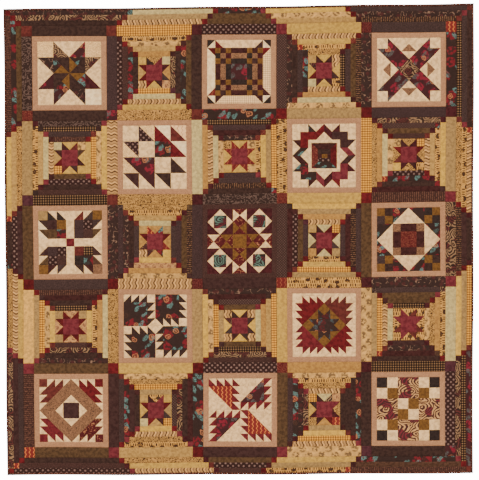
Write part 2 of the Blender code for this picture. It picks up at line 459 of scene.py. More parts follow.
# %% The sampler's cutting helper


class Sampler:
    """One sampler block, cut in its own units from the inner top left corner."""

    def __init__(self, row, column, unit=1.0, frame_wide=1.0, frame_cotton="rose_tan"):
        self.part = f"block_row_{row}"
        self.unit = unit
        self.side = (BLOCK - 2 * frame_wide) / unit
        self.x = block_corner(column) + frame_wide
        self.y = block_corner(row) + frame_wide
        outer, inner = -frame_wide / unit, self.side
        wide = frame_wide / unit
        self.box(frame_cotton, outer, outer, inner + 2 * wide, wide)
        self.box(frame_cotton, outer, inner, inner + 2 * wide, wide)
        self.box(frame_cotton, outer, 0, wide, inner)
        self.box(frame_cotton, inner, 0, wide, inner)

    def patch(self, cotton, *points):
        cut(self.part, cotton, [(self.x + x * self.unit, self.y + y * self.unit) for x, y in points])

    def box(self, cotton, x, y, wide=1, high=1):
        self.patch(cotton, *box_at(x, y, wide, high))

    def ground(self, cotton, count):
        """A ground of count by count plain squares."""
        step = self.side / count
        for i in range(count):
            for j in range(count):
                self.box(cotton, i * step, j * step, step, step)

    def half(self, cotton, x, y, corner, size=1):
        """A triangle that fills the cell's corner: ul, ur, lr or ll."""
        spots = {"ul": (x, y), "ur": (x + size, y), "lr": (x + size, y + size), "ll": (x, y + size)}
        around = ["ul", "ur", "lr", "ll"]
        at = around.index(corner)
        self.patch(cotton, *(spots[around[(at + step) % 4]] for step in (-1, 0, 1)))

    def four(self, cottons, *points):
        names = cottons.split()
        for turn in range(4):
            self.patch(names[turn % len(names)], *turned(list(points), turn, self.side))

    def mirror(self, cottons, *points):
        """The outline at top left, then its mirror images at top right, bottom right and bottom left."""
        names = cottons.split()
        for turn, (flip_x, flip_y) in enumerate(((0, 0), (1, 0), (1, 1), (0, 1))):
            side = self.side
            outline = [(side - x if flip_x else x, side - y if flip_y else y) for x, y in points]
            self.patch(names[turn % len(names)], *outline)


# %% [markdown]
# Top row: an eight-pointed star with a pinwheel heart, four nine-patches joined by rails, and a crossed star.

# %% Samplers of row one
block = Sampler(1, 1)
block.four("cream_tan cream_tan white cream", (0, 0), (3, 0), (3, 3), (0, 3))
block.four("cream", (3, 0), (9, 0), (6, 3))
block.four("dark_paisley dark_paisley flecks rose_floral", (3, 0), (3, 3), (6, 3))
block.four("rose_floral burgundy rose_floral flecks", (9, 0), (9, 3), (6, 3))
block.four("chocolate", (3, 3), (6, 3), (6, 6))
block.four("teal_floral", (3, 3), (3, 6), (4.5, 4.5))
block.four("mustard", (3, 6), (6, 6), (4.5, 4.5))

block = Sampler(1, 3)
block.four("ebony", (0, 0), (1.5, 0), (0, 1.5))
block.four("white", (1.5, 0), (1.5, 1.5), (0, 1.5))
block.four("cream cream_check cream_check white", (1.5, 0), (10.5, 0), (9, 1.5), (3, 1.5))
block.four("crimson crimson maroon rust_wave", (1.5, 0), (1.5, 1.5), (3, 1.5))
block.four("deep_red plum maroon maroon", (0, 1.5), (1.5, 1.5), (1.5, 3))
NINE_PATCH = ("mustard", "maroon", "mustard", "ebony", "tan_scroll", "burgundy", "mustard", "plum", "mustard")
for corner_x, corner_y in ((1.5, 1.5), (7.5, 1.5), (7.5, 7.5), (1.5, 7.5)):
    for place, cotton in enumerate(NINE_PATCH):
        block.box(cotton, corner_x + place % 3, corner_y + place // 3)
for depth, cotton in enumerate(("maroon", "tan_scroll", "ebony")):
    block.four(cotton, (4.5, 1.5 + depth), (7.5, 1.5 + depth), (7.5, 2.5 + depth), (4.5, 2.5 + depth))
block.box("rose_floral", 4.5, 4.5, 3, 3)

block = Sampler(1, 5)
block.four("cream", (0, 0), (2, 0), (2, 2), (0, 2))
block.four("cream", (2, 0), (10, 0), (7.45, 2.55), (6, 1.1), (4.55, 2.55))
block.four("cream", (4.55, 2.55), (7.45, 2.55), (6, 4))
block.four("tan_scroll", (6, 1.1), (7.45, 2.55), (4.55, 2.55))
block.four("rose_floral", (2, 0), (6, 4), (4, 6), (0, 2), (2, 2))
block.patch("dark_paisley", (6, 4), (8, 6), (6, 8), (4, 6))
print("row one cut")

# %% [markdown]
# Second row: a large triangle beside rows of small ones, and an eight-pointed ring round a square.

# %% Samplers of row two
block = Sampler(2, 2, unit=3)
GRID = """
cream cream_tan white peach_cream
cream_tan cream teal_floral white
cream_tan cream cream cream
cream cream cream cream
"""
for down, names in enumerate(chart(GRID)):
    for right, cotton in enumerate(names):
        block.box(cotton, right, down)
for cotton, right, down, corner in (
    ("polka", 1, 0, "ll"), ("crimson", 2, 0, "ll"), ("brick", 3, 0, "ll"),
    ("polka", 0, 1, "ur"), ("crimson", 3, 1, "ll"), ("chocolate", 3, 2, "ll"),
    ("plum", 0, 3, "ur"), ("chocolate", 2, 3, "ur"),
):
    block.half(cotton, right, down, corner)
block.patch("rose_floral", (0, 2), (2, 2), (2, 4))

block = Sampler(2, 4, unit=1.5)
block.ground("cream", 8)
block.mirror("crimson plum magenta teal_floral", (1, 1), (3, 1), (3, 2), (2, 2), (2, 3), (1, 3))
block.mirror("teal_floral burgundy crimson maroon", (2, 0), (2, 1), (3, 1))
block.mirror("maroon plum burgundy teal_floral", (0, 2), (1, 2), (1, 3))
block.four("crimson magenta burgundy maroon", (3, 1), (4, 0), (4, 1), (3, 2))
block.four("burgundy plum magenta teal_floral", (4, 0), (5, 1), (5, 2), (4, 1))
RING_LOW, RING_HIGH = 2.4, 5.6
block.four("maroon deep_red teal_floral red_scroll",
           (RING_LOW, RING_LOW), (RING_HIGH, RING_LOW), (RING_HIGH - 0.8, 3.2), (3.2, 3.2))
block.box("chocolate", 3.2, 3.2, 1.6, 0.6)
block.box("maroon", 3.2, 3.8, 1.6, 0.5)
block.box("mustard", 3.7, 3.8, 0.7, 0.5)
block.box("polka", 3.2, 4.3, 1.6, 0.5)
print("row two cut")

# %% [markdown]
# Third row: bear's paws, a ring of on-point squares, and four-patches round a framed centre.

# %% Samplers of row three
block = Sampler(3, 1)
PAW, CROSS = 1.75, 1.5
block.mirror("sage mustard tan_scroll mustard", (0, 0), (PAW, 0), (PAW, PAW), (0, PAW))
for step in (1, 2):
    near, far = step * PAW, (step + 1) * PAW
    block.mirror("cream", (near, 0), (far, 0), (far, PAW), (near, PAW))
    block.mirror("white cream cream cream", (0, near), (PAW, near), (PAW, far), (0, far))
block.mirror("ebony charcoal maroon maroon", (PAW, 0), (PAW, PAW), (2 * PAW, PAW))
block.mirror("ebony red_scroll chocolate charcoal", (2 * PAW, 0), (2 * PAW, PAW), (3 * PAW, PAW))
block.mirror("chocolate charcoal rust_brown olive", (0, PAW), (PAW, PAW), (PAW, 2 * PAW))
block.mirror("olive olive plum plum", (0, 2 * PAW), (PAW, 2 * PAW), (PAW, 3 * PAW))
PADS = """
plum mustard olive teal_floral
char_plum polka char_plum plum_brown
brick black_check ebony teal_floral
char_plum polka polka plum_brown
"""
for (x, y), names in zip(((PAW, PAW), (6.75, PAW), (6.75, 6.75), (PAW, 6.75)), chart(PADS)):
    for place, cotton in enumerate(names):
        block.box(cotton, x + place % 2 * PAW, y + place // 2 * PAW, PAW, PAW)
block.four("cream", (3 * PAW, 0), (3 * PAW + CROSS, 0), (3 * PAW + CROSS, 3 * PAW), (3 * PAW, 3 * PAW))
block.box("cranberry", 3 * PAW, 3 * PAW, CROSS, CROSS)

block = Sampler(3, 3, frame_wide=0.9, frame_cotton="plum_brown")
ARM, GAP = 4.8, 2.6
mid, low, high, far = ARM / 2, ARM / 4, 3 * ARM / 4, ARM + GAP
across = ARM + GAP / 2
block.mirror("burgundy", (0, 0), (mid, 0), (0, mid))
block.mirror("burgundy", (mid, 0), (ARM, 0), (ARM, mid))
block.mirror("burgundy", (0, mid), (mid, ARM), (0, ARM))
block.mirror("burgundy", (ARM, mid), (ARM, ARM), (mid, ARM))
block.mirror("cream", (mid, 0), (high, low), (low, low))
block.mirror("cream", (ARM, mid), (high, high), (high, low))
block.mirror("cream", (mid, ARM), (low, high), (high, high))
block.mirror("cream", (0, mid), (low, low), (low, high))
block.mirror("teal_swirl", (low, low), (high, low), (high, high), (low, high))
block.four("red_vine", (ARM, 0), (far, 0), (across, low))
block.four("cream", (ARM, 0), (across, low), (ARM, mid))
block.four("cream", (far, 0), (across, low), (far, mid))
block.four("red_vine", (ARM, mid), (across, low), (far, mid), (across, high))
block.four("red_vine", (ARM, ARM), (across, high), (far, ARM))
block.four("mustard", (ARM, mid), (across, high), (ARM, ARM))
block.four("mustard", (far, mid), (across, high), (far, ARM))
block.box("mustard", ARM, ARM, GAP, GAP)

block = Sampler(3, 5, unit=1.5)
block.mirror("mustard", (0, 0), (1, 0), (1, 1), (0, 1))
block.mirror("mustard", (1, 1), (2, 1), (2, 2), (1, 2))
block.mirror("chocolate ebony chocolate chocolate", (1, 0), (2, 0), (2, 1), (1, 1))
block.mirror("charcoal ebony chocolate charcoal", (0, 1), (1, 1), (1, 2), (0, 2))
block.mirror("teal_floral", (2, 0), (4, 0), (2, 2))
block.mirror("teal_floral", (0, 2), (2, 2), (0, 4))
block.four("cream", (4, 0), (6, 2), (2, 2))
block.mirror("tan_scroll", (2, 2), (3, 2), (3, 3), (2, 3))
block.four("maroon", (3, 2), (5, 2), (5, 3), (3, 3))
block.box("red_scroll", 3, 3, 2, 2)
print("row three cut")

# %% [markdown]
# Fourth row: a basket of leaves turned four ways, and a sawtooth ring round a small star.

# %% Samplers of row four
block = Sampler(4, 2, unit=1.5)
block.ground("cream", 8)
block.four("teal_floral", (0, 1), (3, 1), (3, 4), (0, 4))
for step in range(3):
    block.four("chocolate", (step + 1, 0), (step + 1, 1), (step, 1))
    block.four("chocolate", (3, step + 1), (4, step + 1), (3, step + 2))

block = Sampler(4, 4)
TIP, BODY = 0.5, 1.85
TOOTH = (6 - BODY) / 3
NEAR, FAR = 3.0, 4.85
TEETH = "crimson brick crimson cranberry"
block.mirror("cream", (0, 0), (BODY, 0), (BODY, BODY), (0, BODY))
block.mirror("cream", (BODY, 0), (6, 0), (6, BODY), (BODY, BODY))
block.mirror("cream", (0, BODY), (BODY, BODY), (BODY, 6), (0, 6))
for step in range(3):
    near, far = BODY + step * TOOTH, BODY + (step + 1) * TOOTH
    block.mirror(TEETH, (near, TIP), (near, BODY), (far, BODY))
    block.mirror(TEETH, (TIP, near), (BODY, near), (BODY, far))
    block.mirror("cream", (near, TIP), (far, TIP), (far, BODY))
    block.mirror("cream", (TIP, near), (TIP, far), (BODY, far))
block.mirror(TEETH, (BODY, BODY), (6, BODY), (6, 6), (BODY, 6))
block.four("mustard", (6, BODY), (12 - FAR, NEAR), (6, 6 - BODY), (FAR, NEAR))
block.mirror("mustard", (FAR, NEAR), (FAR, FAR), (NEAR, FAR))
block.four("dusk_floral", (FAR, NEAR), (6, 6 - BODY), (12 - FAR, NEAR), (12 - FAR, FAR), (FAR, FAR))
block.box("dusk_floral", FAR, FAR, 12 - 2 * FAR, 12 - 2 * FAR)
print("row four cut")

# %% [markdown]
# Bottom row: an arrowhead ring, four pine branches, and small checkers set between larger squares.

# %% Samplers of row five
block = Sampler(5, 1, unit=1.5)
block.ground("cream", 8)
ARROWS = "brick crimson red_vine cranberry"
block.mirror(ARROWS, (0, 0), (1, 0), (1, 1), (0, 1))
block.mirror(ARROWS, (1, 1), (3, 1), (1, 3))
for step in (1, 2):
    block.mirror(ARROWS, (step + 1, 0), (step + 1, 1), (step, 1))
    block.mirror(ARROWS, (1, step), (1, step + 1), (0, step + 1))
block.four("tan_scroll", (4, 0), (8, 4), (6, 4), (4, 2))
block.four("cream", (4, 2), (5, 3), (3, 3))
block.box("plum", 3, 3, 2, 2)

block = Sampler(5, 3, unit=1.5)
block.ground("cream", 8)
block.four("zigzag rose_floral", (0, 1), (3, 1), (3, 4))
BRANCHES = "cranberry"
for step in range(3):
    block.four(BRANCHES, (step, 0), (step, 1), (step + 1, 1))
    block.four(BRANCHES, (3, step + 1), (4, step + 2), (3, step + 2))
block.four(BRANCHES, (3, 0), (3, 1), (4, 1))

block = Sampler(5, 5, unit=2)
SQUARES = """
ebony cream - - cream ebony
cream mustard - - mustard cream
- - cream mustard - -
- - mustard cream - -
cream mustard - - mustard cream
ebony cream - - cream ebony
"""
for down, names in enumerate(chart(SQUARES)):
    for right, cotton in enumerate(names):
        if cotton != "-":
            block.box(cotton, right, down)
block.four("rose_paisley", (2, 0), (4, 0), (4, 2), (2, 2))
print("row five cut")

# %% [markdown]
# The border is three rounds of 1 inch logs. The logs change from dark to light beside the blocks, and each
# change is stepped by a red square, one inch further along in each round.

# %% Border logs
BORDER_JOINS = ((21, 22, 23), (37, 38, 39), (50, 49, 48), (66, 65, 64))
BORDER_LOGS = {
    "top": "chocolate dark_paisley flecks | serpentine sage mint | olive olive teal_floral"
           " | tan_gold sprig gold_yellow | tan_ticks flecks charcoal",
    "right": "black_check charcoal chocolate | vermicular script serpentine | tan_ticks plum chocolate"
             " | gold_yellow sage gold_check | dark_paisley black_check rose_floral",
    "bottom": "chocolate plum_brown polka | vermicular gold serpentine | olive polka plum_brown"
              " | gold sage script | teal_floral rust_brown rust_ticks",
    "left": "olive teal_floral rust_ticks | vermicular tan_gold gold_yellow | plum polka chocolate"
            " | gold serpentine vermicular | charcoal plum dark_paisley",
}
BORDER_SQUARES = {
    "top": "crimson brick teal_floral | crimson burgundy crimson | magenta brick magenta"
           " | maroon deep_red crimson",
    "right": "brick magenta zigzag | crimson deep_red burgundy | brick deep_red burgundy"
             " | maroon deep_red brick",
    "bottom": "crimson burgundy magenta | burgundy brick burgundy | crimson burgundy deep_red"
              " | burgundy maroon zigzag",
    "left": "burgundy crimson brick | burgundy red_scroll zigzag | deep_red burgundy teal_floral"
            " | burgundy magenta magenta",
}
CORNER_SQUARES = {"top": "deep_red crimson crimson | brick magenta brick",
                  "bottom": "crimson zigzag crimson | magenta crimson brick"}


def border_side(side):
    """Logs of one side, listed left to right or top to bottom, each group from the inside out."""
    logs = [group.split() for group in BORDER_LOGS[side].split("|")]
    squares = [group.split() for group in BORDER_SQUARES[side].split("|")]
    for depth in range(3):
        near = BORDER - 1 - depth
        at = near if side in ("top", "left") else FULL - near - 1
        ends = [near + 1] + [join[depth] for join in BORDER_JOINS] + [FULL - near - 1]
        for number in range(5):
            start = ends[number] + (1 if number else 0)
            stop = ends[number + 1]
            spans = [(logs[number][depth], start, stop)]
            if number < 4:
                spans.append((squares[number][depth], stop, stop + 1))
            for cotton, begin, end in spans:
                if side in ("top", "bottom"):
                    cut_box(f"border_{side}", cotton, begin, at, end - begin, 1)
                else:
                    cut_box(f"border_{side}", cotton, at, begin, 1, end - begin)


for side in BORDER_LOGS:
    border_side(side)
for side, text in CORNER_SQUARES.items():
    for end, group in enumerate(text.split("|")):
        for depth, cotton in enumerate(group.split()):
            near = BORDER - 1 - depth
            down = near if side == "top" else FULL - near - 1
            right = near if end == 0 else FULL - near - 1
            cut_box(f"border_{side}", cotton, right, down, 1, 1)
print("border cut,", sum(len(part) for part in cuts.values()), "patches in all")

# %% [markdown]
# Now the patches are sewn together. Patches made one by one would leave gaps and doubled seams, so all
# outlines of one part go through a constrained Delaunay triangulation, which finds every cell of the
# arrangement and puts shared points on shared seams. Cells that belong to one patch are joined again, and
# points that only divide a straight seam are dropped where they crowd.

# %% Sewing the seams
SPARE_NEAR = 0.65
SPARE_PASSES = 3
STRAIGHT = 0.999
VALID_FACES = 4
SAME_PLACE = 1e-4


def spaced(points):
    """The outline with a point about every inch, so that it can follow the folds."""
    ring = []
    for (x0, y0), (x1, y1) in zip(points, points[1:] + points[:1]):
        count = max(1, round(max(abs(x1 - x0), abs(y1 - y0))))
        for step in range(count):
            share = step / count
            ring.append((x0 + (x1 - x0) * share, y0 + (y1 - y0) * share))
    return ring


def signed_area(ring):
    return sum(a[0] * b[1] - b[0] * a[1] for a, b in zip(ring, ring[1:] + ring[:1])) / 2


def spare(vert):
    """Whether a point only divides a straight seam and lies close to the next one."""
    if len(vert.link_edges) != 2:
        return False
    back, ahead = (edge.other_vert(vert).co - vert.co for edge in vert.link_edges)
    turn = back.normalized().dot(ahead.normalized())
    return min(back.length, ahead.length) < SPARE_NEAR and turn < -STRAIGHT


def seamed_mesh(part):
    """A flat mesh in inches, y up, with one face a patch, before the patches are inset."""
    spots, rings = [], []
    for _, points in part:
        ring = [(x, -y) for x, y in spaced(points)]
        if signed_area(ring) < 0:
            ring.reverse()
        rings.append(list(range(len(spots), len(spots) + len(ring))))
        spots += [Vector(spot) for spot in ring]
    verts, _, cells, _, _, sources = delaunay_2d_cdt(spots, [], rings, VALID_FACES, SAME_PLACE, True)
    shape = bmesh.new()
    patch_of = shape.faces.layers.int.new("patch")
    made = [shape.verts.new((v.x, v.y, 0)) for v in verts]
    for cell, source in zip(cells, sources):
        if source:
            face = shape.faces.new([made[i] for i in cell])
            face[patch_of] = max(source)
            face.smooth = True
    inner = [edge for edge in shape.edges if len(edge.link_faces) == 2
             and edge.link_faces[0][patch_of] == edge.link_faces[1][patch_of]]
    bmesh.ops.dissolve_edges(shape, edges=inner, use_verts=False, use_face_split=False)
    bmesh.ops.delete(shape, geom=[v for v in shape.verts if not v.link_faces], context="VERTS")
    for _ in range(SPARE_PASSES):
        chosen, beside = [], set()
        for vert in shape.verts:
            if vert not in beside and spare(vert):
                chosen.append(vert)
                beside.update(edge.other_vert(vert) for edge in vert.link_edges)
        bmesh.ops.dissolve_verts(shape, verts=chosen)
    return shape, patch_of


print("the longest part is sewn from", max(len(part) for part in cuts.values()), "patches")

# %% [markdown]
# Quilting makes each patch puff up between seams that lie low. A patch is inset twice from its seams and
# raised, which gives the puff a shoulder and a crown. A narrow or pointed patch is inset only as far as it
# has room for, because a wider inset would fold over itself, and it rises less. Insets are in inches.

# %% Puffing the patches
SEAM_INSET = 0.07
CROWN_INSET = 0.15
INSET_SHARES = (1, 0.7, 0.45, 0.3, 0.2, 0.1)
ROOM_KEPT = 0.8
SHARPEST = 0.05
SEAM_SINK = 0.7 * MM
SHOULDER = 0.3 * MM
PATCH_CROWN = 0.5 * MM
NARROW_POWER = 0.5


def room(face):
    """The share of the full inset that a patch has room for."""
    ring = np.array([vert.co.xy for vert in face.verts])
    ahead = np.roll(ring, -1, axis=0) - ring
    length = np.linalg.norm(ahead, axis=1)
    along = ahead / length[:, None]
    inward = np.stack((-along[:, 1], along[:, 0]), axis=1)
    before = np.roll(inward, 1, axis=0)
    lean = (before + inward) / (1 + (before * inward).sum(axis=1)).clip(SHARPEST)[:, None]
    for share in INSET_SHARES:
        depth = share * (SEAM_INSET + CROWN_INSET)
        inner = ring + lean * depth
        step = ((np.roll(inner, -1, axis=0) - inner) * along).sum(axis=1)
        away = inner[:, None] - ring[None]
        reach = (away * along[None]).sum(axis=2).clip(0, length[None])
        gap = np.linalg.norm(away - reach[..., None] * along[None], axis=2)
        if step.min() > 0 and gap.min() > ROOM_KEPT * depth:
            return share
    return INSET_SHARES[-1] / 2


def puff(shape):
    """Insets every patch from its seams and raises it in two steps. Heights are in metres."""
    for vert in shape.verts:
        vert.co.z = -SEAM_SINK
    rooms = {}
    for face in list(shape.faces):
        rooms.setdefault(room(face), []).append(face)
    for inset, rise in ((SEAM_INSET, SHOULDER), (CROWN_INSET, PATCH_CROWN)):
        for share, patches in rooms.items():
            bmesh.ops.inset_individual(shape, faces=patches, thickness=inset * share, use_even_offset=True)
            for face in patches:
                for vert in face.verts:
                    vert.co.z = (rise + SEAM_SINK) * share ** NARROW_POWER - SEAM_SINK
    for face in shape.faces:
        face.smooth = True


print("a patch rises", round((SEAM_SINK + PATCH_CROWN) / MM, 2), "mm from its seams at most")

# %% [markdown]
# A sheet is worked out flat, in inches, because that is how it is cut. Each flat place is then laid where the
# quilt's folds carry it, over the solid's relief, with the fine pucker that washing leaves.

# %% Laying a sheet on the quilt
PUCKER = 0.25 * MM
PUCKER_WAVES = (7.1, 6.3)
PUCKER_BENDS = (1.7, 2.1)


def on_quilt(right, down, rise):
    """Flat places, in inches with y down, laid on the puckered top with a rise in metres."""
    pucker = PUCKER * np.sin(right * PUCKER_WAVES[0] + 2 * np.sin(down * PUCKER_BENDS[0]))
    pucker = pucker * np.sin(down * PUCKER_WAVES[1] + 2 * np.sin(right * PUCKER_BENDS[1]))
    x, y = lie((right - HALF) * INCH, (HALF - down) * INCH)
    return np.stack((x - MIDDLE[0], y - MIDDLE[1], quilt_height(right, down) + pucker + rise), axis=1)


def lay_sheet(mesh, flat):
    """Moves flat points, in inches with y up, to where the quilt lies."""
    laid = on_quilt(flat[:, 0], -flat[:, 1], flat[:, 2])
    mesh.vertices.foreach_set("co", laid.astype(np.float32).ravel())
    mesh.update()


print("the pucker rises and falls by", PUCKER / MM, "mm")

# %% [markdown]
# One material serves a whole motif, because each patch carries its own dyes and its own piece of the print.
# The dyes are written on the corners of its faces, a shade lighter or darker as cloth is. The print runs
# along the patch from a random start, in a map that counts repeats. A second map is for baking: it cuts a
# long part into even lengths that lie side by side.

# %% Printing the patches
TINT = 0.05
FARTHEST_START = 9
DYES = ("ground", "figure", "accent")
BAKE_MARGIN = 0.004
chance = random.Random(20)


def face_corners(mesh):
    """The point of every face corner, and the count of corners of every face."""
    points = np.zeros(len(mesh.loops), int)
    mesh.loops.foreach_get("vertex_index", points)
    counts = np.zeros(len(mesh.polygons), int)
    mesh.polygons.foreach_get("loop_total", counts)
    return points, counts


def write_colours(mesh, name, colours):
    layer = mesh.color_attributes.new(name=name, type="FLOAT_COLOR", domain="CORNER")
    layer.data.foreach_set("color", colours.astype(np.float32).ravel())


def write_map(mesh, name, u, v):
    layer = mesh.uv_layers.new(name=name)
    layer.data.foreach_set("uv", np.stack((u, v), axis=1).astype(np.float32).ravel())


def print_patches(mesh, part, patch_ids, flat):
    """Writes each patch's dyes and its print's own coordinates, with the print running along the patch."""
    corners, counts = face_corners(mesh)
    corner_patch = np.repeat(patch_ids, counts)
    colours = {name: np.zeros((len(part), 4)) for name in DYES}
    places = np.zeros((len(part), 5))
    for number, (cotton, points) in enumerate(part):
        _, repeat, *tints = COTTONS[cotton]
        shade = 1 + chance.uniform(-TINT, TINT)
        for name, tint in zip(DYES, tints):
            colours[name][number] = [min(1, c * shade) for c in dye(tint)] + [1]
        wide = max(x for x, _ in points) - min(x for x, _ in points)
        high = max(y for _, y in points) - min(y for _, y in points)
        along = (1, 0) if wide >= high else (0, 1)
        starts = [chance.uniform(0, FARTHEST_START) for _ in range(2)]
        places[number] = (*along, repeat, *starts)
    for name, table in colours.items():
        write_colours(mesh, name, table[corner_patch])
    x, y = flat[corners, :2].T
    run_x, run_y, repeat, start_u, start_v = places[corner_patch].T
    write_map(mesh, "print", (x * run_x + y * run_y) / repeat + start_u,
              (y * run_x - x * run_y) / repeat + start_v)


def bake_map(mesh, flat, lengths):
    corners, counts = face_corners(mesh)
    spot = flat[corners, :2]
    low, high = flat[:, :2].min(0), flat[:, :2].max(0)
    if high[1] - low[1] > high[0] - low[0]:
        spot = spot[:, ::-1]
        low, high = low[::-1], high[::-1]
    starts = np.concatenate(([0], np.cumsum(counts)[:-1]))
    middles = np.add.reduceat(spot[:, 0], starts) / counts
    length = (high[0] - low[0]) / lengths
    number = np.clip(((middles - low[0]) / length).astype(int), 0, lengths - 1)
    number = np.repeat(number, counts)
    along = (spot[:, 0] - low[0] - number * length) / length
    across = (spot[:, 1] - low[1]) / (high[1] - low[1])
    spill = max(abs(along.min()), along.max() - 1, 0) + BAKE_MARGIN
    write_map(mesh, "OFBake", (along + spill) / (1 + 2 * spill),
              (number + BAKE_MARGIN + across * (1 - 2 * BAKE_MARGIN)) / lengths)


print("dyes on the cloth:", *DYES)

# %% [markdown]
# With its seams, its puffs and its print, each part of the top is one sheet. It is printed and measured
# while it is still flat, and laid last.

# %% The pieced top
BLOCK_LENGTHS = 3
STRIP_LENGTHS = 8


def placed(name, data):
    """A new object at the origin, in the scene."""
    piece = bpy.data.objects.new(name, data)
    bpy.context.scene.collection.objects.link(piece)
    return piece


def motif_number(cotton):
    return MOTIFS.index(COTTONS[cotton][0])


def sew(name, part):
    """One part of the quilt top as a puffed, printed sheet, with the size it was cut to."""
    shape, patch_of = seamed_mesh(part)
    puff(shape)
    for face in shape.faces:
        face.material_index = motif_number(part[face[patch_of]][0])
    patch_ids = np.array([face[patch_of] for face in shape.faces])
    mesh = bpy.data.meshes.new(name)
    shape.to_mesh(mesh)
    shape.free()
    flat = np.zeros(len(mesh.vertices) * 3, np.float32)
    mesh.vertices.foreach_get("co", flat)
    flat = flat.reshape(-1, 3).astype(float)
    print_patches(mesh, part, patch_ids, flat)
    bake_map(mesh, flat, BLOCK_LENGTHS if name.startswith("block") else STRIP_LENGTHS)
    lay_sheet(mesh, flat)
    size = flat[:, :2].max(0) - flat[:, :2].min(0)
    return placed(name, mesh), (float(size[0]) * INCH, float(size[1]) * INCH)


top_pieces = {}
for name, part in cuts.items():
    top_pieces[name] = sew(name, part)
    print(name, len(part), "patches", len(top_pieces[name][0].data.polygons), "faces")

# %% [markdown]
# The dyes are shader nodes. This class wraps one socket, so that shader sums read as plain arithmetic, and
# its `node` method adds any other node: its settings are set first and its sockets after.

# %% Shader arithmetic


class Strand:
    """One socket in a shader tree."""

    def __init__(self, tree, socket):
        self.tree = tree
        self.socket = socket

    def node(self, kind, settings=None, inputs=None, out=0):
        made = self.tree.nodes.new(kind)
        for name, value in (settings or {}).items():
            setattr(made, name, value)
        for key, value in (inputs or {}).items():
            if isinstance(value, Strand):
                self.tree.links.new(value.socket, made.inputs[key])
            else:
                made.inputs[key].default_value = value
        return Strand(self.tree, made.outputs[out] if made.outputs else None)

    def maths(self, operation, *others):
        inputs = dict(enumerate((self, *others)))
        return self.node("ShaderNodeMath", {"operation": operation}, inputs)

    def __add__(self, other):
        return self.maths("ADD", other)

    __radd__ = __add__

    def __mul__(self, other):
        return self.maths("MULTIPLY", other)

    __rmul__ = __mul__

    def __sub__(self, other):
        return self.maths("SUBTRACT", other)

    def __rsub__(self, other):
        return (self * -1) + other

    def above(self, low, high):
        """0 under low, 1 over high and smooth between."""
        inputs = {"Value": self, "From Min": low, "From Max": high}
        return self.node("ShaderNodeMapRange", {"interpolation_type": "SMOOTHSTEP"}, inputs)

    def wave(self):
        """A sine with a period of 1."""
        return (self * math.tau).maths("SINE")

    def part(self):
        return self.maths("FRACT")

    def whole(self):
        return self.maths("FLOOR")

    def size(self):
        return self.maths("ABSOLUTE")

    def mix(self, share, other, blend="MIX"):
        """This colour, with a share of another."""
        inputs = {0: share, 6: self, 7: other}
        return self.node("ShaderNodeMix", {"data_type": "RGBA", "blend_type": blend}, inputs, out=2)

    def pair(self):
        """The first two numbers of this vector."""
        split = self.node("ShaderNodeSeparateXYZ", None, {0: self})
        return split, Strand(self.tree, split.socket.node.outputs[1])

    def clouds(self, scale, detail=2.0):
        """Soft noise at this place."""
        return self.node("ShaderNodeTexNoise", None, {"Vector": self, "Scale": scale, "Detail": detail})

    def bump(self, strength, distance, under=None):
        """This height as relief, over another relief if there is one."""
        inputs = {"Strength": strength, "Distance": distance, "Height": self}
        if under:
            inputs["Normal"] = under
        return self.node("ShaderNodeBump", None, inputs)


print("shader arithmetic ready")

# %% [markdown]
# A motif says where the figure and the accent of a print lie, from the print's own coordinates u and v in
# repeats. Each is a few lines, because the prints are small and old in style: dots, checks, wavy lines,
# sprigs and flowers. The floral also says where its buds lie. None of them copies a maker's cloth.

# %% The motifs


def joined(u, v):
    return u.node("ShaderNodeCombineXYZ", None, {0: u, 1: v})


def noise(u, v, scale, detail=2.0):
    inputs = {"Vector": joined(u, v), "Scale": scale, "Detail": detail}
    return u.node("ShaderNodeTexNoise", {"noise_dimensions": "2D"}, inputs, out="Fac")


def cells(u, v, scale, randomness=1.0, out="Distance"):
    inputs = {"Vector": joined(u, v), "Scale": scale, "Randomness": randomness}
    return u.node("ShaderNodeTexVoronoi", {"voronoi_dimensions": "2D"}, inputs, out=out)


def mottled(u, v):
    return noise(u, v, 1.6, 4).above(0.42, 0.62), noise(u, v, 5.0).above(0.6, 0.75) * 0.6


def speckle(u, v):
    return noise(u, v, 3.2, 1).above(0.52, 0.64) * 0.8, noise(v, u, 2.1, 1).above(0.56, 0.66) * 0.7


def from_middle(u, v):
    """Distance from the middle of each square of a grid."""
    across = u.part() - 0.5
    down = v.part() - 0.5
    return (across * across + down * down).maths("SQRT")


def staggered(u, v):
    """Distance from the nearest point of a grid whose rows are shifted by a half."""
    return from_middle(u, v).maths("MINIMUM", from_middle(u + 0.5, v + 0.5))


def dots(u, v):
    dot = 1 - staggered(u + noise(u, v, 0.6) * 0.3, v + noise(v, u, 0.6) * 0.3).above(0.13, 0.24)
    return dot, (1 - dot) * noise(u, v, 1.0).above(0.5, 0.7) * 0.5


def check(u, v):
    across = 1 - (u.part() - 0.5).size().above(0.06, 0.24)
    down = 1 - (v.part() - 0.5).size().above(0.06, 0.24)
    return across.maths("MAXIMUM", down * 0.8), across * down


def ticks(u, v):
    line = (u + noise(u, v, 0.7) * 0.5).wave().above(0.0, 0.7)
    return line * noise(u, v, 1.1).above(0.38, 0.5), noise(v, u, 1.6).above(0.55, 0.65) * 0.7


def serpentine(u, v):
    bend = (u + v.wave() * 0.11 + noise(u, v, 1.4) * 0.1).part()
    strong = bend.above(0.08, 0.17) * (1 - bend.above(0.25, 0.37))
    weak = bend.above(0.62, 0.7) * (1 - bend.above(0.76, 0.88))
    pale = bend.above(0.36, 0.44) * (1 - bend.above(0.5, 0.6))
    return strong + weak * 0.5, pale * 0.75


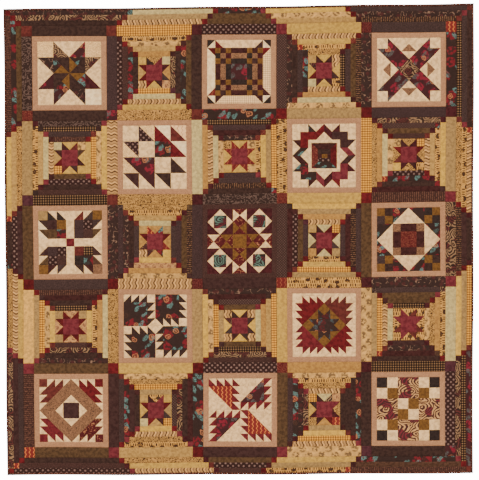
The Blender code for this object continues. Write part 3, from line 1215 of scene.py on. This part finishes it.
def script(u, v):
    row = (v * 0.66).whole()
    line = (v * 0.66).part()
    inside = line.above(0.02, 0.12) * (1 - line.above(0.82, 0.95))
    stroke = (u + row * 0.37 + noise(u, row * 2.1, 0.5) * 0.6).wave().above(-0.3, 0.3)
    written = stroke * inside * noise(u * 0.8, row * 3.3, 1.0, 1).above(0.34, 0.42)
    flower = 1 - cells(u * 0.21, v * 0.3, 1.0, 0.6).above(0.2, 0.25)
    return written.maths("MAXIMUM", flower), noise(v, u, 0.8).above(0.55, 0.7) * 0.3


def vermicular(u, v):
    worm = (noise(u, v, 2.6, 1) * 4.2).part()
    return 1 - (worm - 0.5).size().above(0.13, 0.24), noise(v, u, 1.5).above(0.55, 0.7) * 0.3


def vine(u, v):
    stem = 1 - (noise(u, v, 2.3, 1) - 0.5).size().above(0.012, 0.04)
    berry = 1 - cells(u, v, 1.7).above(0.16, 0.34)
    return stem * noise(v, u, 2.6, 1).above(0.47, 0.55), berry * 0.7


def floral(u, v):
    wild_u = u + noise(u, v, 2.4) * 0.3
    wild_v = v + noise(v, u, 2.4) * 0.3
    far = cells(wild_u, wild_v, 1.15, 0.7)
    petal = 1 - cells(wild_u, wild_v, 5.0).above(0.4, 0.56) * 0.85
    some = cells(wild_u, wild_v, 1.15, 0.7, out="Color").above(0.26, 0.3)
    rose = (1 - far.above(0.3, 0.38)) * petal * some
    slant = (wild_u + wild_v, (wild_u - wild_v) * 1.9)
    rib = (noise(slant[0], slant[1], 3.0) * 4).wave().above(-0.9, 0.0)
    some = cells(*slant, 0.85, out="Color").above(0.36, 0.42)
    leaf = (1 - cells(*slant, 0.85).above(0.26, 0.34)) * some * rib
    spot = cells(wild_u + 5.2, wild_v + 2.4, 1.0, 0.8)
    swirl = (1 - spot.above(0.17, 0.22)) * (spot * 9).wave().above(-0.6, 0.2)
    return rose, leaf, swirl * cells(wild_u + 5.2, wild_v + 2.4, 1.0, 0.8, out="Color").above(0.5, 0.56)


def paisley(u, v):
    wild_u = u + noise(u, v, 1.5) * 0.45
    wild_v = v + noise(v, u, 1.5) * 0.45
    far = cells(wild_u + wild_v * 0.5, (wild_v - wild_u * 0.4) * 1.5, 1.1, 0.9)
    ring = (far * 5.5 + 0.2).wave().above(-0.35, 0.35)
    cloth = noise(u, v, 1.6, 1)
    return ring * cloth.above(0.39, 0.45), (1 - cloth.above(0.4, 0.46)) * ring


def zigzag(u, v):
    bend = (u + v.wave() * 0.14 + noise(u, v, 1.0) * 0.06).part()
    return bend.above(0.3, 0.42) * (1 - bend.above(0.52, 0.64)), noise(u, v, 3.0).above(0.58, 0.7) * 0.6


def sprig(u, v):
    bunch = 1 - staggered(u, v).above(0.2, 0.36)
    leaf = bunch * noise(u * 0.8, v, 6.0, 1).above(0.42, 0.54)
    return leaf, (1 - bunch) * noise(v, u, 2.0).above(0.5, 0.65) * 0.6


MAKERS = {"mottled": mottled, "speckle": speckle, "dots": dots, "check": check, "ticks": ticks,
          "serpentine": serpentine, "script": script, "vermicular": vermicular, "floral": floral,
          "paisley": paisley, "zigzag": zigzag, "sprig": sprig, "vine": vine}
print("motifs:", *MAKERS)

# %% [markdown]
# Each motif becomes one material. It mixes the three dyes that every patch carries, and gives all buds one
# dye of their own. It lightens and darkens the cloth a little, as washing does, and its weave and its
# quilted pucker are bump.

# %% Cotton materials
THREADS = 1 / 0.0007
WEAVE_DEPTH = 0.00012
PUCKER_DEPTH = 0.0009
PUCKER_SCALE = 70.0
WORN_SCALE = 90.0
WORN_DARK = 0.89
WORN_SPAN = 0.22
WEAVE_BUMP = 0.5
PUCKER_BUMP = 0.6
COTTON_ROUGH = 0.9
SHEEN = 0.12
BUD = (178, 120, 84)


def new_material(name):
    """A material with an empty tree, and the strand from which its first nodes are added."""
    material = bpy.data.materials.new(name)
    material.use_nodes = True
    material.node_tree.nodes.clear()
    return material, Strand(material.node_tree, None)


def matt(colour, roughness, relief):
    """Ends a tree as matt cloth or thread, with hardly any sheen."""
    shader = colour.node("ShaderNodeBsdfPrincipled", None,
                         {"Base Color": colour, "Roughness": roughness, "Normal": relief,
                          "Specular IOR Level": SHEEN})
    shader.node("ShaderNodeOutputMaterial", None, {"Surface": shader})


def cotton_material(name, motif):
    material, start = new_material(f"cotton_{name}")
    figure, accent, *third = motif(*start.node("ShaderNodeUVMap", {"uv_map": "print"}).pair())
    ground, *others = (start.node("ShaderNodeAttribute", {"attribute_name": key}) for key in DYES)
    colour = ground.mix(figure, others[0]).mix(accent, others[1])
    for mask in third:
        colour = colour.mix(mask, (*dye(BUD), 1))
    place = start.node("ShaderNodeTexCoord", out="Object")
    faded = place.clouds(WORN_SCALE, 3.0).above(0.3, 0.75) * WORN_SPAN + WORN_DARK
    grey = start.node("ShaderNodeCombineColor", None, {0: faded, 1: faded, 2: faded})
    colour = colour.mix(1.0, grey, "MULTIPLY")
    across, along = place.pair()
    weave = (across * THREADS).wave() * (along * THREADS).wave()
    soft = place.clouds(PUCKER_SCALE).bump(PUCKER_BUMP, PUCKER_DEPTH)
    matt(colour, COTTON_ROUGH, weave.bump(WEAVE_BUMP, WEAVE_DEPTH, soft))
    return material


cottons = [cotton_material(name, MAKERS[name]) for name in MOTIFS]
for piece, _ in top_pieces.values():
    for cotton in cottons:
        piece.data.materials.append(cotton)
print(len(cottons), "materials")

# %% [markdown]
# The back is one plain cloth, quilted through, so it dimples upwards along the seams.

# %% The back
BACK_STEPS = 132
BACK_INSIDE = 0.05
BACK_RISE = 0.15 * MM
BACK_DIMPLE = 0.8 * MM


def plain_print(mesh, cotton, flat):
    """One cotton all over a mesh, printed at its flat places in inches."""
    _, repeat, *tints = COTTONS[cotton]
    corners, _ = face_corners(mesh)
    for name, tint in zip(DYES, tints):
        write_colours(mesh, name, np.tile(dye(tint) + [1], len(corners)))
    write_map(mesh, "print", *(flat[corners] / repeat).T)
    mesh.materials.append(cottons[motif_number(cotton)])


def back_cloth():
    reach = HALF - BACK_INSIDE
    run = np.linspace(-reach, reach, BACK_STEPS + 1)
    across, up = np.meshgrid(run, run)
    right, down = across.ravel() + HALF, HALF - up.ravel()
    crown_x, _ = crown(right)
    crown_y, _ = crown(down)
    high = BACK_RISE + BACK_DIMPLE * (1 - crown_x * crown_y)
    x, y = lie(across.ravel() * INCH, up.ravel() * INCH)
    spots = np.stack((x - MIDDLE[0], y - MIDDLE[1], high), axis=1)
    count = BACK_STEPS + 1
    faces = [(j * count + i, (j + 1) * count + i, (j + 1) * count + i + 1, j * count + i + 1)
             for j in range(BACK_STEPS) for i in range(BACK_STEPS)]
    mesh = bpy.data.meshes.new("back_cloth")
    mesh.from_pydata(spots.tolist(), [], faces)
    mesh.shade_smooth()
    plain_print(mesh, "muslin", np.stack((right, -down), axis=1))
    return placed("back_cloth", mesh)


back = back_cloth()
print("back", len(back.data.polygons), "faces")

# %% [markdown]
# The binding is a strip folded in two over the raw edges, mitred at the corners. Its section runs round
# the fold from the back to the front, and it is swept along each side with the quilt's own bow.

# %% The binding
BINDING_STEPS = 220
BIND_CLOTH = 0.9 * MM
BIND_SOFT = 0.11 * INCH
BIND_LIP = 0.1 * INCH
BIND_FULL = 0.3 * MM
BIND_RIPPLE = 0.2 * MM
RIPPLE_TURNS = 170
FOLD_TURNS = 8


def binding_section():
    """The fold as (inward, height), along its outer face first and then back along its inner face."""
    top = BIND_HIGH + BIND_FULL
    radius = top / 2
    wide = BIND_REACH + BIND_SOFT + BIND_LIP
    outer, inner = [(wide, 0.0)], [(wide, BIND_CLOTH)]
    for step in range(FOLD_TURNS + 1):
        angle = math.pi * step / FOLD_TURNS
        outer.append((radius - radius * math.sin(angle), radius - radius * math.cos(angle)))
        small = radius - BIND_CLOTH
        inner.append((radius - small * math.sin(angle), radius - small * math.cos(angle)))
    outer.append((wide, top))
    inner.append((wide, top - BIND_CLOTH))
    return outer + inner[::-1]


def binding_strip(name, turns):
    reach = HALF * INCH + BIND_REACH + BIND_SOFT
    section = binding_section()
    length = np.concatenate(([0], np.cumsum([math.dist(a, b) for a, b in zip(section, section[1:])])))
    spots, prints = [], []
    for step in range(BINDING_STEPS + 1):
        along = step / BINDING_STEPS * 2 - 1
        for place, (inward, high) in enumerate(section):
            across, up = along * (reach - inward), -(reach - inward)
            prints.append((along * reach / INCH, length[place] / INCH))
            for _ in range(turns):
                across, up = -up, across
            x, y = lie(across, up)
            lift = BIND_RIPPLE * math.sin(along * RIPPLE_TURNS) * high / BIND_HIGH
            spots.append((x - MIDDLE[0], y - MIDDLE[1], high + lift))
    size = len(section)
    faces = []
    for step in range(BINDING_STEPS):
        for place in range(size):
            after = (place + 1) % size
            here, there = step * size, (step + 1) * size
            faces.append((here + place, here + after, there + after, there + place))
    faces.append(tuple(reversed(range(size))))
    faces.append(tuple(range(BINDING_STEPS * size, (BINDING_STEPS + 1) * size)))
    mesh = bpy.data.meshes.new(name)
    mesh.from_pydata(spots, [], faces)
    shape = bmesh.new()
    shape.from_mesh(mesh)
    bmesh.ops.recalc_face_normals(shape, faces=shape.faces)
    shape.to_mesh(mesh)
    shape.free()
    mesh.shade_smooth()
    plain_print(mesh, "binding_red", np.array(prints))
    return placed(name, mesh), (float(length[len(section) // 2 - 1]), 2 * reach)


bindings = {}
for turns, side in enumerate(("bottom", "right", "top", "left")):
    bindings[side] = binding_strip(f"bound_{side}", turns)
    print(side, "binding, flat", [round(size, 4) for size in bindings[side][1]])

# %% [markdown]
# Hand quilting holds the three layers together: small running stitches lie in the ditch beside the seams of
# the sashes, frames and logs. Each seam is laid on the folds as a line of edges. A Geometry Nodes tree then
# walks it: it spaces points one stitch apart, turns a small rounded stitch along the seam at each, makes the
# instances real and gives them their thread. All stitches share one small bake map, since they look alike.

# %% The stitch tree
PITCH = 6.0 * MM
STITCH_LONG = 3.6 * MM
THREAD = 0.7 * MM
DITCH = 0.05
THREAD_COLOURS = ((112, 80, 58), (86, 60, 44))
THREAD_SCALE = 60.0
TWIST_SCALE = 2600.0
THREAD_ROUGH = 0.8
UNEVEN = (0.8, 1.15)
STITCH_SEED = 7


def thread_material():
    material, start = new_material("quilting_thread")
    place = start.node("ShaderNodeTexCoord", out="Object")
    pale, dark = ((*dye(colour), 1) for colour in THREAD_COLOURS)
    worn = {0: place.clouds(THREAD_SCALE), 6: pale, 7: dark}
    colour = start.node("ShaderNodeMix", {"data_type": "RGBA"}, worn, out=2)
    matt(colour, THREAD_ROUGH, place.clouds(TWIST_SCALE).bump(WEAVE_BUMP, WEAVE_DEPTH))
    return material


def stitch_tree(thread):
    tree = bpy.data.node_groups.new("running_stitch", "GeometryNodeTree")
    tree.interface.new_socket("Seams", in_out="INPUT", socket_type="NodeSocketGeometry")
    for name in ("Pitch", "Length", "Thickness"):
        tree.interface.new_socket(name, in_out="INPUT", socket_type="NodeSocketFloat")
    tree.interface.new_socket("Seed", in_out="INPUT", socket_type="NodeSocketInt")
    tree.interface.new_socket("Stitches", in_out="OUTPUT", socket_type="NodeSocketGeometry")
    start = Strand(tree, None)
    entry = start.node("NodeGroupInput").socket.node
    seams, pitch, length, thick, seed = (Strand(tree, entry.outputs[number]) for number in range(5))
    line = start.node("GeometryNodeMeshToCurve", None, {"Mesh": seams})
    even = start.node("GeometryNodeResampleCurve", {"mode": "LENGTH"}, {"Curve": line, "Length": pitch})
    ball = start.node("GeometryNodeMeshIcoSphere", None, {"Radius": 0.5, "Subdivisions": 1})
    ball_map = Strand(tree, ball.socket.node.outputs["UV Map"])
    mapped = start.node("GeometryNodeStoreNamedAttribute", {"data_type": "FLOAT2", "domain": "CORNER"},
                        {"Geometry": ball, "Name": "OFBake", "Value": ball_map})
    size = start.node("ShaderNodeCombineXYZ", None, {0: length, 1: thick, 2: thick})
    stitch = start.node("GeometryNodeTransform", None, {"Geometry": mapped, "Scale": size})
    turn = start.node("FunctionNodeAlignRotationToVector", {"axis": "X"},
                      {"Vector": start.node("GeometryNodeInputTangent")})
    limits = {2: UNEVEN[0], 3: UNEVEN[1], "Seed": seed}
    uneven = start.node("FunctionNodeRandomValue", {"data_type": "FLOAT"}, limits, out=1)
    sewn = start.node("GeometryNodeInstanceOnPoints", None,
                      {"Points": even, "Instance": stitch, "Rotation": turn, "Scale": uneven})
    real = start.node("GeometryNodeRealizeInstances", None, {0: sewn})
    done = start.node("GeometryNodeSetMaterial", None, {"Geometry": real, "Material": thread})
    start.node("NodeGroupOutput", None, {0: done})
    return tree


running = stitch_tree(thread_material())
print("the stitch tree has", len(running.nodes), "nodes")

# %% [markdown]
# The stitches run along four sets of seams: both edges of every sash, across and down, the inner edge of each
# frame with a round beside the binding, and every round of logs. Each set is kept as one plain mesh, because
# a mesh can be saved as it stands.

# %% The quilting
STITCH_RISE = 0.1 * MM
SEAM_STEPS = 2


def quilted(name, tree, lines):
    """The stitches along lines of flat places, in inches with y down, as one plain mesh."""
    spots, edges = [], []
    for (x0, y0), (x1, y1) in lines:
        count = round(max(abs(x1 - x0), abs(y1 - y0)) * SEAM_STEPS)
        share = np.linspace(0, 1, count + 1)
        laid = on_quilt(x0 + (x1 - x0) * share, y0 + (y1 - y0) * share, STITCH_RISE)
        edges += [(len(spots) + step, len(spots) + step + 1) for step in range(count)]
        spots += laid.tolist()
    mesh = bpy.data.meshes.new(name)
    mesh.from_pydata(spots, edges, [])
    seams = placed(name + "_seams", mesh)
    walk = seams.modifiers.new("stitch", "NODES")
    walk.node_group = tree
    sizes = {"Pitch": PITCH, "Length": STITCH_LONG, "Thickness": THREAD, "Seed": STITCH_SEED}
    for item in tree.interface.items_tree:
        if item.name in sizes:
            walk[item.identifier] = sizes[item.name]
    ready = seams.evaluated_get(bpy.context.evaluated_depsgraph_get())
    stitches = bpy.data.meshes.new_from_object(ready)
    stitches.name = name
    stitches.shade_smooth()
    bpy.data.objects.remove(seams)
    return placed(name, stitches)


def square_round(x, y, side):
    corners = box_at(x, y, side, side)
    return list(zip(corners, corners[1:] + corners[:1]))


sash_edges = []
for number in range(BLOCKS + 1):
    near = BORDER + number * STEP
    sash_edges += [near + DITCH, near + SASH - DITCH]
low, high = BORDER, FULL - BORDER
frame_rounds, log_rounds = [], []
for row in range(1, BLOCKS + 1):
    for column in range(1, BLOCKS + 1):
        x, y = block_corner(column), block_corner(row)
        starry = (row, column) in STARS
        rounds = log_rounds if starry else frame_rounds
        for depth in range(1, ROUNDS + 1) if starry else (1,):
            inset = depth + DITCH
            rounds.extend(square_round(x + inset, y + inset, BLOCK - 2 * inset))
beside = BIND_LIP / INCH + DITCH
frame_rounds += square_round(beside, beside, FULL - 2 * beside)
stitch_lines = {
    "quilting_across": [((low, edge), (high, edge)) for edge in sash_edges],
    "quilting_down": [((edge, low), (edge, high)) for edge in sash_edges],
    "quilting_frames": frame_rounds,
    "quilting_logs": log_rounds,
}
quilting = [quilted(name, running, lines) for name, lines in stitch_lines.items()]
for piece in quilting:
    print(piece.name, len(piece.data.polygons), "faces")

# %% [markdown]
# Each piece rides on the one body, and the imported solids of the layers and the bindings are hidden. The
# stitches are no cloth, so they have no cut size.

# %% Attaching the pieces
for piece, _ in top_pieces.values():
    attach(piece, "root")
for piece in (back, *quilting):
    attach(piece, "root")
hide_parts("quilted_layers")
for side, (piece, flat) in bindings.items():
    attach(piece, "root")
    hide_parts(f"binding_{side}")
print(len(top_pieces) + len(quilting) + len(bindings) + 1, "pieces declared")

# %% [markdown]
# The quilt is shown from straight above, as a flat quilt is photographed: a plain white floor, soft light
# from all round, and a little more from the upper left to model the puffs.

# %% Floor, light and camera
PHOTO_HIGH = 480
PIXEL = 4.809 * MM
CAMERA_HIGH = 6.0
CAMERA_AT = (0.0039, -0.0039)
FLOOR_SIDE = 80.0
FLOOR_GAP = 0.5 * MM
FLOOR_WHITE = 0.9
FLOOR_GLOW = 14.5
ROUND_SHARE = 0.68
WINDOW_TILT = (-38, -32)
WINDOW_SOFT = 25

floor_mesh = bpy.data.meshes.new("floor")
reach = FLOOR_SIDE / 2
corners = [(x, y, 0) for x, y in box_at(-reach, -reach, FLOOR_SIDE, FLOOR_SIDE)]
floor_mesh.from_pydata(corners, [], [(0, 1, 2, 3)])
floor = placed("floor", floor_mesh)
floor.location.z = -FLOOR_GAP
plain = bpy.data.materials.new("floor_white")
plain.use_nodes = True
white = plain.node_tree.nodes["Principled BSDF"]
white.inputs["Base Color"].default_value = (FLOOR_WHITE, FLOOR_WHITE, FLOOR_WHITE, 1)
white.inputs["Roughness"].default_value = 1.0
white.inputs["Emission Color"].default_value = (1, 1, 1, 1)
white.inputs["Emission Strength"].default_value = FLOOR_GLOW
floor_mesh.materials.append(plain)
floor.visible_diffuse = False

world = bpy.data.worlds.new("studio")
bpy.context.scene.world = world
world.use_nodes = True
strength = float(LIGHT.max())
tint = [float(part) / strength for part in LIGHT]
world.node_tree.nodes["Background"].inputs["Color"].default_value = (*tint, 1)
world.node_tree.nodes["Background"].inputs["Strength"].default_value = strength * ROUND_SHARE
lamp = bpy.data.lights.new("window", "SUN")
lamp.color = tint
slant = math.cos(math.radians(WINDOW_TILT[0])) * math.cos(math.radians(WINDOW_TILT[1]))
lamp.energy = strength * (1 - ROUND_SHARE) * math.pi / slant
lamp.angle = math.radians(WINDOW_SOFT)
window = placed("window", lamp)
window.rotation_euler = (math.radians(WINDOW_TILT[0]), math.radians(WINDOW_TILT[1]), 0)

lens = bpy.data.cameras.new("camera")
lens.lens = lens.sensor_width * CAMERA_HIGH / (PHOTO_HIGH * PIXEL)
camera = placed("camera", lens)
camera.location = (*CAMERA_AT, CAMERA_HIGH)
bpy.context.scene.camera = camera
print("a", round(lens.lens, 1), "mm lens stands", CAMERA_HIGH, "m above the floor")
